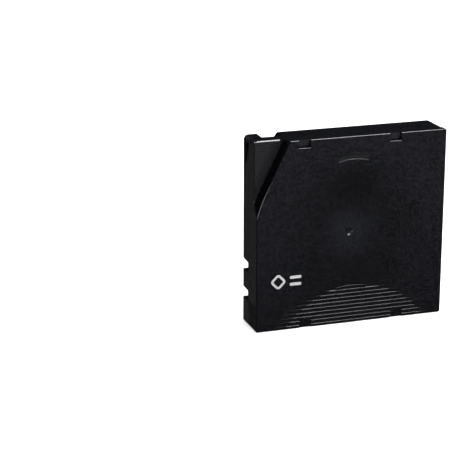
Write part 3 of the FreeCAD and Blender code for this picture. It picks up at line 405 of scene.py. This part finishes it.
def makeBoard():
    finish = Finish("boardLaminate")
    _, _, up = finish.axes()
    bands = (up * laminate["loopWave"]).math("SINE").smooth(*laminate["loopRamp"])
    cloud = finish.noise(*laminate["cloud"])
    green = finish.mix(cloud, *laminate["greens"])
    finish.set(Base_Color=finish.mix(bands * laminate["loopShare"], green, laminate["loop"]))
    finish.set(Roughness=cloud * laminate["roughSpread"] + laminate["rough"])
    finish.bump(bands, *laminate["bump"])
    return finish


hubLow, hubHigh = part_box("reel_hub")
reelCentre = ((hubLow.x + hubHigh.x) / 2, (hubLow.z + hubHigh.z) / 2)
case = makeCasePlastic(reelCentre)
for name in ("cover_shell", "base_shell"):
    paint(name, case)
for name, facts in mouldedNodes.items():
    paint(name, makeMoulding(*facts))
paint("memory_board", makeBoard())
paint("drive_plate", makePlateSteel(reelCentre))
paint("leader_pin", makeSteel("pinSteel", (0.62, 0.62, 0.63), 0.26, (700.0, 9000.0, 700.0)))
springSteel = makeSteel("springSteel", (0.50, 0.50, 0.51), 0.3, (5000.0, 5000.0, 1200.0))
paint("pin_spring", springSteel)
screwSteel = makeSteel("screwSteel", (0.38, 0.38, 0.39), 0.36, (2500.0, 900.0, 2500.0))
film = makeFilm(reelCentre)
for name in ("tape_pack", "tape_leader"):
    paint(name, film)
print("finishes set")


# Edit-mode helpers: a fresh primitive comes in selected, so picking starts from nothing
def pick(piece, kind, test):
    bpy.ops.object.mode_set(mode="EDIT")
    bpy.ops.mesh.select_mode(type=kind)
    bpy.ops.mesh.select_all(action="DESELECT")
    bpy.ops.object.mode_set(mode="OBJECT")
    parts = piece.data.vertices if kind == "VERT" else piece.data.polygons
    for part in parts:
        part.select = test(part.co if kind == "VERT" else part.center)
    bpy.ops.object.mode_set(mode="EDIT")


def grow(shift, scale, centre):
    bpy.ops.mesh.extrude_region_move(TRANSFORM_OT_translate={"value": shift})
    bpy.ops.transform.resize(value=scale, center_override=centre)


def takeUp(piece):
    bpy.ops.object.select_all(action="DESELECT")
    piece.select_set(True)
    bpy.context.view_layer.objects.active = piece


def joinAll(pieces, name):
    takeUp(pieces[0])
    for piece in pieces:
        piece.select_set(True)
    bpy.ops.object.join()
    piece = bpy.context.object
    piece.name = name
    bpy.ops.object.mode_set(mode="EDIT")
    bpy.ops.mesh.select_all(action="SELECT")
    return piece


def turnOutwards():
    bpy.ops.mesh.select_all(action="SELECT")
    bpy.ops.mesh.normals_make_consistent(inside=False)


def settle(piece, finish, angle=30):
    bpy.ops.object.mode_set(mode="OBJECT")
    takeUp(piece)
    bpy.ops.object.transform_apply(location=True, rotation=True, scale=True)
    bpy.ops.object.shade_smooth_by_angle(angle=math.radians(angle))
    piece.data.materials.clear()
    piece.data.materials.append(finish.material)
    return piece


# Grip ridges: their upper edges are eased where they stand clear of the dish's rim, and catch the
# light in a line
gripRidges = {
    "first": 1.42 * mm,
    "pitch": 2.15 * mm,
    "count": 9,
    "crest": 0.55 * mm,
    "drop": 0.02 * mm,
    "depth": 0.36 * mm,
    "reach": 0.14 * mm,
    "ease": 0.042 * mm,
    "clearCentre": (2.5 * mm, -28.0 * mm),
    "clearRadius": 49.2 * mm,
    "taper": 2.0 * mm,
    "bowCentre": (0.5 * mm, -27.3 * mm),
    "bowRadius": 48.0 * mm,
    "bowSlack": 0.01 * mm,
    "bowReach": 0.09 * mm,
    "bowSegments": 4,
}


def easeRidge(piece, edge, level):
    reach = gripRidges["reach"]
    clearX, clearZ = gripRidges["clearCentre"]
    span = math.sqrt(gripRidges["clearRadius"] ** 2 - (edge - clearZ) ** 2)
    full = span - gripRidges["taper"]

    def near(centre):
        return centre.y < level + gripRidges["depth"] and abs(centre.z - edge) < gripRidges["pitch"] / 2

    def onEdge(co):
        return abs(co.y - level) < hair and abs(co.z - edge) < hair and abs(co.x - clearX) < full + hair

    cuts = [((clearX + across, 0, 0), (1, 0, 0)) for across in (-span, -full, full, span)]
    cuts.append(((0, 0, edge - reach), (0, 0, 1)))
    cuts.append(((0, level + reach, 0), (0, 1, 0)))
    for spot, normal in cuts:
        pick(piece, "FACE", near)
        bpy.ops.mesh.bisect(plane_co=spot, plane_no=normal)
    pick(piece, "VERT", onEdge)
    bpy.ops.transform.translate(value=(0, gripRidges["ease"], -gripRidges["ease"]))


def easeBow(piece, edge, level):
    bowX, bowZ = gripRidges["bowCentre"]

    def onBow(co):
        away = math.hypot(co.x - bowX, co.z - bowZ)
        return abs(co.y - level) < hair and abs(away - edge) < gripRidges["bowSlack"]

    pick(piece, "VERT", onBow)
    bpy.ops.mesh.select_mode(type="EDGE")
    bpy.ops.mesh.bevel(offset=gripRidges["bowReach"], segments=gripRidges["bowSegments"], profile=0.5,
                       clamp_overlap=False)


def easeRidges(piece):
    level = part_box("cover_shell")[0].y + gripRidges["drop"]
    half = gripRidges["crest"] / 2
    for step in range(gripRidges["count"]):
        easeRidge(piece, gripRidges["first"] + gripRidges["pitch"] * step + half, level)
    easeBow(piece, gripRidges["bowRadius"] + half, level)


# Case halves: the moulded skins, with normals that keep flat faces flat up to their rounded edges
caseSkins = {
    "nodes": {"coverSkin": "cover_shell", "baseSkin": "base_shell"},
    "edge": 28,
    "flat": 0.05,
}


def makeSkin(name, node):
    piece = bpy.data.objects.new(name, nodes[node].data.copy())
    bpy.context.collection.objects.link(piece)
    takeUp(piece)
    if piece.data.has_custom_normals:
        bpy.ops.mesh.customdata_custom_splitnormals_clear()
    bpy.ops.object.mode_set(mode="EDIT")
    bpy.ops.mesh.select_all(action="SELECT")
    bpy.ops.mesh.remove_doubles(threshold=hair)
    bpy.ops.mesh.dissolve_limited(angle_limit=math.radians(caseSkins["flat"]))
    if node == "cover_shell":
        easeRidges(piece)
    settle(piece, case, caseSkins["edge"])
    flatten = piece.modifiers.new("flatten", "WEIGHTED_NORMAL")
    flatten.keep_sharp = True
    bpy.ops.object.modifier_apply(modifier="flatten")
    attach(piece, "case")
    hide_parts(node)


for name, node in caseSkins["nodes"].items():
    makeSkin(name, node)
print("case skins made")

# Case screws: six-lobe recess, rounded head, rolled thread
screw = {
    "sides": 48,
    "head": 2.5 * mm,
    "headHeight": 2.0 * mm,
    "crown": 0.35 * mm,
    "thread": 1.2 * mm,
    "core": 0.95 * mm,
    "tip": 0.57 * mm,
    "pitch": 0.8 * mm,
    "recess": 1.45 * mm,
    "lobes": 6,
    "lobe": 1.14,
    "waist": 0.86,
    "recessDepth": 1.2 * mm,
    "recessTaper": 0.94,
    "dimple": 0.25 * mm,
    "dimpleTaper": 0.35,
}


def screwPlaces():
    low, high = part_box("case_screws")
    middle = (low + high) / 2
    points = [vertex.co for vertex in nodes["case_screws"].data.vertices]
    places = {}
    for end in ("rear", "front"):
        for side in ("Left", "Right"):
            near = [point for point in points if (point.x > middle.x) == (side == "Right")]
            near = [point for point in near if (point.z > middle.z) == (end == "front")]
            across = [point.x for point in near]
            up = [point.z for point in near]
            places[end + side] = Vector((min(across) + max(across), 0, min(up) + max(up))) / 2
    return places, low.y, high.y


def makeScrew(tip, top):
    seat = top - screw["headHeight"]
    level = tip
    radius = screw["tip"]
    bpy.ops.object.select_all(action="DESELECT")
    bpy.ops.mesh.primitive_circle_add(vertices=screw["sides"], radius=radius, fill_type="NGON",
                                      location=(0, tip, 0), rotation=(-math.pi / 2, 0, 0))
    piece = bpy.context.object
    bpy.ops.object.transform_apply(location=True, rotation=True, scale=True)
    bpy.ops.object.mode_set(mode="EDIT")

    def ring(rise, wanted):
        nonlocal level, radius
        level += rise
        grow((0, rise, 0), (wanted / radius, 1, wanted / radius), (0, level, 0))
        radius = wanted

    def sink(depth, taper):
        nonlocal level
        level -= depth
        grow((0, -depth, 0), (taper, 1, taper), (0, level, 0))

    turns = int((seat - tip) / screw["pitch"])
    step = (seat - tip) / turns
    for turn in range(turns):  # root and crest of each turn
        ring(step / 2, screw["core"])
        ring(step / 2, screw["thread"])
    ring(0.0, screw["head"])
    ring(screw["headHeight"] - screw["crown"], screw["head"])
    for bend in (math.pi / 4, math.pi / 2):  # rounded rim of the head
        ring(screw["crown"] / 2, screw["head"] - screw["crown"] * (1 - math.cos(bend)))
    ring(0.0, screw["recess"])
    rim = screw["recess"] * 1.2  # lies between the recess and the edge of the head
    middle = screw["recess"] * 0.4
    for side, factor in ((1, screw["lobe"]), (-1, screw["waist"])):  # pull the lobes out, the waists in
        pick(piece, "VERT", lambda co: abs(co.y - level) < hair and co.xz.length < rim
             and math.cos(screw["lobes"] * math.atan2(co.z, co.x)) * side > 0.5)
        bpy.ops.transform.resize(value=(factor, 1, factor), center_override=(0, level, 0))
    pick(piece, "FACE", lambda centre: abs(centre.y - level) < hair and centre.xz.length < middle)
    sink(screw["recessDepth"], screw["recessTaper"])
    sink(screw["dimple"], screw["dimpleTaper"])
    bpy.ops.mesh.select_all(action="SELECT")
    bpy.ops.mesh.remove_doubles(threshold=hair / 10)
    turnOutwards()
    return settle(piece, screwSteel)


def makeScrews():
    places, tip, top = screwPlaces()
    first = makeScrew(tip, top)
    for name, place in places.items():
        piece = first.copy()
        piece.data = first.data.copy()
        piece.name = name + "Screw"
        bpy.context.collection.objects.link(piece)
        piece.data.transform(Matrix.Translation(place))
        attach(piece, "case")
        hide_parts("case_screws")
    bpy.data.objects.remove(first)


makeScrews()
print("screws made")

# Compression springs of round wire with a closed turn at each end
springs = {
    "doorSpring": {
        "node": "door_spring",
        "joint": "door_slide",
        "axis": "Z",
        "wire": 0.5 * mm,
        "turns": 12,
    },
    "brakeSpring": {
        "node": "brake_spring",
        "joint": "brake_lift",
        "axis": "Y",
        "wire": 1.1 * mm,
        "turns": 3,
    },
}
coil = {"round": 12, "turn": 40, "closedPitch": 1.02, "edge": 40}


def coilStretch(axis, centre, start, radius, wire, pitch, turns):
    turned = (math.pi / 2, 0, 0) if axis == "Z" else (0, 0, 0)
    at = Vector(centre)
    at["XYZ".index(axis)] = start
    bpy.ops.object.select_all(action="DESELECT")
    bpy.ops.mesh.primitive_circle_add(vertices=coil["round"], radius=wire / 2, rotation=turned)
    piece = bpy.context.object
    bpy.ops.object.transform_apply(location=True, rotation=True, scale=True)
    bpy.ops.object.mode_set(mode="EDIT")
    bpy.ops.transform.translate(value=(radius, 0, 0))
    bpy.ops.object.mode_set(mode="OBJECT")
    winding = piece.modifiers.new("winding", "SCREW")
    winding.axis = axis
    winding.angle = 2 * math.pi
    winding.screw_offset = pitch
    winding.iterations = turns
    winding.steps = coil["turn"]
    winding.render_steps = coil["turn"]
    bpy.ops.object.modifier_apply(modifier="winding")
    piece.location = at
    bpy.ops.object.transform_apply(location=True)
    return piece


def makeSpring(name, node, axis, wire, turns, joint):
    low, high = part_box(node)
    centre = (low + high) / 2
    along = Vector((axis == "X", axis == "Y", axis == "Z"))
    length = (high - low).dot(along)
    radius = (high.x - low.x - wire) / 2
    closed = wire * coil["closedPitch"]
    free = length - wire - 2 * closed
    start = low.dot(along) + wire / 2
    stretches = []
    for rise, count in ((closed, 1), (free, turns - 2), (closed, 1)):
        stretches.append(coilStretch(axis, centre, start, radius, wire, rise / count, count))
        start += rise
    piece = joinAll(stretches, name)
    bpy.ops.mesh.remove_doubles(threshold=hair)
    bpy.ops.mesh.select_mode(type="EDGE")
    bpy.ops.mesh.select_all(action="DESELECT")
    bpy.ops.mesh.select_non_manifold()
    bpy.ops.mesh.fill_holes(sides=0)
    turnOutwards()
    settle(piece, springSteel, coil["edge"])
    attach(piece, "case")
    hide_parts(node)
    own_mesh(piece)


for name, facts in springs.items():
    makeSpring(name, **facts)
print("springs made")

# Printed mark on the grip face: a plain diamond frame and two plain bars of ink
facePrint = {
    "thick": 0.012 * mm,
    "frame": {"centre": (-40.6 * mm, 27.0 * mm), "outer": 4.6 * mm, "inner": 2.9 * mm, "sides": 4},
    "frameCorner": 4,
    "bars": [
        {"centre": (-31.0 * mm, 28.9 * mm), "size": (6.4 * mm, 1.6 * mm)},
        {"centre": (-31.0 * mm, 25.1 * mm), "size": (6.4 * mm, 1.6 * mm)},
    ],
    "barCorner": 6,
    "roundEnd": 0.8,
}
ink = {
    "thin": (0.42, 0.42, 0.43),
    "full": (0.66, 0.66, 0.67),
    "speckle": (5200.0, 2.0, 0.6),
    "speckleRamp": (0.35, 0.65),
    "speckleShare": 0.6,
    "cloud": (420.0, 2.0, 0.5),
    "cloudShare": 0.4,
    "rough": 0.42,
    "roughSpread": 0.2,
    "bump": (0.3, 0.00001),
    "ior": 1.48,
}


def makeInk():
    finish = Finish("printInk")
    speckle = finish.noise(*ink["speckle"])
    cloud = finish.noise(*ink["cloud"])
    tone = speckle.smooth(*ink["speckleRamp"]) * ink["speckleShare"] + cloud * ink["cloudShare"]
    finish.set(Base_Color=finish.mix(tone, ink["thin"], ink["full"]))
    finish.set(Roughness=cloud * ink["roughSpread"] + ink["rough"], IOR=ink["ior"])
    finish.bump(speckle, *ink["bump"])
    return finish


def printFrame(face, centre, outer, inner, sides):
    bpy.ops.object.select_all(action="DESELECT")
    bpy.ops.mesh.primitive_circle_add(vertices=sides, radius=outer, fill_type="NGON",
                                      location=(centre[0], face, centre[1]), rotation=(math.pi / 2, 0, 0))
    piece = bpy.context.object
    bpy.ops.object.transform_apply(location=True, rotation=True, scale=True)
    bpy.ops.object.mode_set(mode="EDIT")
    bpy.ops.mesh.select_all(action="SELECT")
    bpy.ops.mesh.bevel(offset=outer - inner, segments=facePrint["frameCorner"], affect="VERTICES")
    bpy.ops.mesh.inset(thickness=(outer - inner) * math.cos(math.pi / sides))
    bpy.ops.mesh.delete(type="FACE")
    bpy.ops.object.mode_set(mode="OBJECT")
    return piece


def printBar(face, centre, size):
    spot = (centre[0], face, centre[1])
    bpy.ops.object.select_all(action="DESELECT")
    bpy.ops.mesh.primitive_plane_add(size=1, location=spot, rotation=(math.pi / 2, 0, 0))
    piece = bpy.context.object
    bpy.ops.object.transform_apply(location=True, rotation=True, scale=True)
    bpy.ops.object.mode_set(mode="EDIT")
    bpy.ops.mesh.select_all(action="SELECT")
    bpy.ops.transform.resize(value=(size[0], 1, size[1]), center_override=spot)
    bpy.ops.mesh.bevel(offset=size[1] / 2 * facePrint["roundEnd"], segments=facePrint["barCorner"],
                       affect="VERTICES")
    bpy.ops.object.mode_set(mode="OBJECT")
    return piece


def makeFacePrint():
    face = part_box("cover_shell")[0].y
    shapes = [printFrame(face, **facePrint["frame"])]
    shapes += [printBar(face, **bar) for bar in facePrint["bars"]]
    piece = joinAll(shapes, "facePrint")
    bpy.ops.mesh.extrude_region_move(TRANSFORM_OT_translate={"value": (0, -facePrint["thick"], 0)})
    turnOutwards()
    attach(settle(piece, makeInk()), "case")


makeFacePrint()
print("print made")


# Pale floor that runs on past the view; gloss shows it dim, except behind the case at the right
studio = {
    "floor": (0.90, 0.90, 0.90),
    "rough": 0.9,
    "reach": 6.0,
    "white": (0.5, 1.0),
    "whiteRamp": (0.35, 1.20),
    "glossBehind": 0.065,
    "glossInFront": 0.13,
    "glossRamp": (-0.10, 0.35),
    "glossBack": 0.85,
    "glossBackAcross": (-0.05, 0.00),
    "glossBackDepth": (0.00, 0.06),
}


def grey(level):
    return (level, level, level)


def makeFloor():
    bpy.ops.object.select_all(action="DESELECT")
    bpy.ops.mesh.primitive_plane_add(size=2 * studio["reach"], location=(0, 0, 0))
    floor = bpy.context.object
    floor.name = "studioFloor"
    finish = Finish("studioFloor")
    finish.set(Base_Color=studio["floor"], Roughness=studio["rough"], Specular_IOR_Level=0.0)
    across, depth, _ = finish.axes()
    nearWhite, farWhite = studio["white"]
    far = finish.distance(across, depth).smooth(*studio["whiteRamp"])
    white = finish.mix(far, grey(nearWhite), grey(farWhite))
    seen = finish.ray("Is Camera Ray")
    finish.set(Emission_Color=finish.mix(seen, grey(0.0), white), Emission_Strength=1.0)
    mirrored = finish.ray("Is Glossy Ray").larger(finish.ray("Is Transmission Ray"))
    inFront = (0 - depth).smooth(*studio["glossRamp"])
    tone = finish.mix(inFront, grey(studio["glossBehind"]), grey(studio["glossInFront"]))
    inBack = across.smooth(*studio["glossBackAcross"]) * depth.smooth(*studio["glossBackDepth"])
    tone = finish.mix(inBack, tone, grey(studio["glossBack"]))
    finish.cover(mirrored, finish.node("Emission", {}, tone, 1.0))
    floor.data.materials.append(finish.material)


# Studio walls are dark near the floor and pale overhead
sky = {"walls": 0.01, "ceiling": 0.55, "rise": 0.42}


def makeSky():
    world = bpy.data.worlds.new("studioSky")
    bpy.context.scene.world = world
    world.use_nodes = True
    tree = world.node_tree
    place = tree.nodes.new("ShaderNodeTexCoord")
    height = tree.nodes.new("ShaderNodeSeparateXYZ")
    shade = tree.nodes.new("ShaderNodeMapRange")
    shade.inputs["From Min"].default_value = sky["rise"]
    shade.inputs["To Min"].default_value = sky["walls"]
    shade.inputs["To Max"].default_value = sky["ceiling"]
    path = tree.nodes.new("ShaderNodeLightPath")
    bright = tree.nodes.new("ShaderNodeMath")
    bright.operation = "MAXIMUM"
    tree.links.new(place.outputs["Generated"], height.inputs[0])
    tree.links.new(height.outputs["Z"], shade.inputs["Value"])
    tree.links.new(shade.outputs["Result"], bright.inputs[0])
    tree.links.new(path.outputs["Is Camera Ray"], bright.inputs[1])
    tree.links.new(bright.outputs[0], tree.nodes["Background"].inputs["Strength"])
    tree.nodes["Background"].inputs["Color"].default_value = (1.0, 1.0, 1.0, 1.0)


# Soft boxes: place, size, power and what they light; those for gloss draw the bright lines along edges
softBoxes = {
    "overhead": {"at": (0.25, -0.20, 1.00), "size": (1.2, 0.7), "power": 12.0, "lights": "diffuse"},
    "front": {"at": (0.10, -1.10, 0.70), "size": (1.0, 0.8), "power": 7.0, "lights": "diffuse"},
    "back": {"at": (0.20, 1.10, 0.60), "size": (1.0, 0.8), "power": 7.0, "lights": "diffuse"},
    "edgeLine": {"at": (0.36, -0.30, 1.00), "size": (0.66, 0.42), "power": 17.0, "lights": "gloss"},
    "lowLeft": {"at": (-0.47, -0.24, 0.07), "size": (0.20, 0.08), "power": 0.5, "lights": "gloss"},
}
aim = Vector((0, 0, 0.05))


def makeLight(name, at, size, power, lights):
    bpy.ops.object.light_add(type="AREA", location=at)
    lamp = bpy.context.object
    lamp.name = name
    lamp.data.shape = "RECTANGLE"
    lamp.data.size, lamp.data.size_y = size
    lamp.data.energy = power
    lamp.visible_diffuse = lights == "diffuse"
    lamp.visible_glossy = lights == "gloss"
    lamp.rotation_euler = (aim - Vector(at)).to_track_quat("-Z", "Y").to_euler()


makeFloor()
makeSky()
for name, box in softBoxes.items():
    makeLight(name, **box)

# View of the grip face from the left and a little above
view = {
    "at": (-0.3150, -0.7628, 0.3029),
    "yaw": 18.21,
    "pitch": 17.15,
    "lens": 127.79,
    "sensor": 36.0,
    "nearest": 0.01,
}


def makeCamera():
    bpy.ops.object.camera_add(location=view["at"])
    camera = bpy.context.object
    camera.name = "photoView"
    camera.rotation_euler = (math.radians(90 - view["pitch"]), 0, -math.radians(view["yaw"]))
    camera.data.lens = view["lens"]
    camera.data.sensor_width = view["sensor"]
    camera.data.sensor_fit = "HORIZONTAL"
    camera.data.clip_start = view["nearest"]
    bpy.context.scene.camera = camera


makeCamera()
bpy.context.scene.view_settings.view_transform = "Standard"
print("studio set")
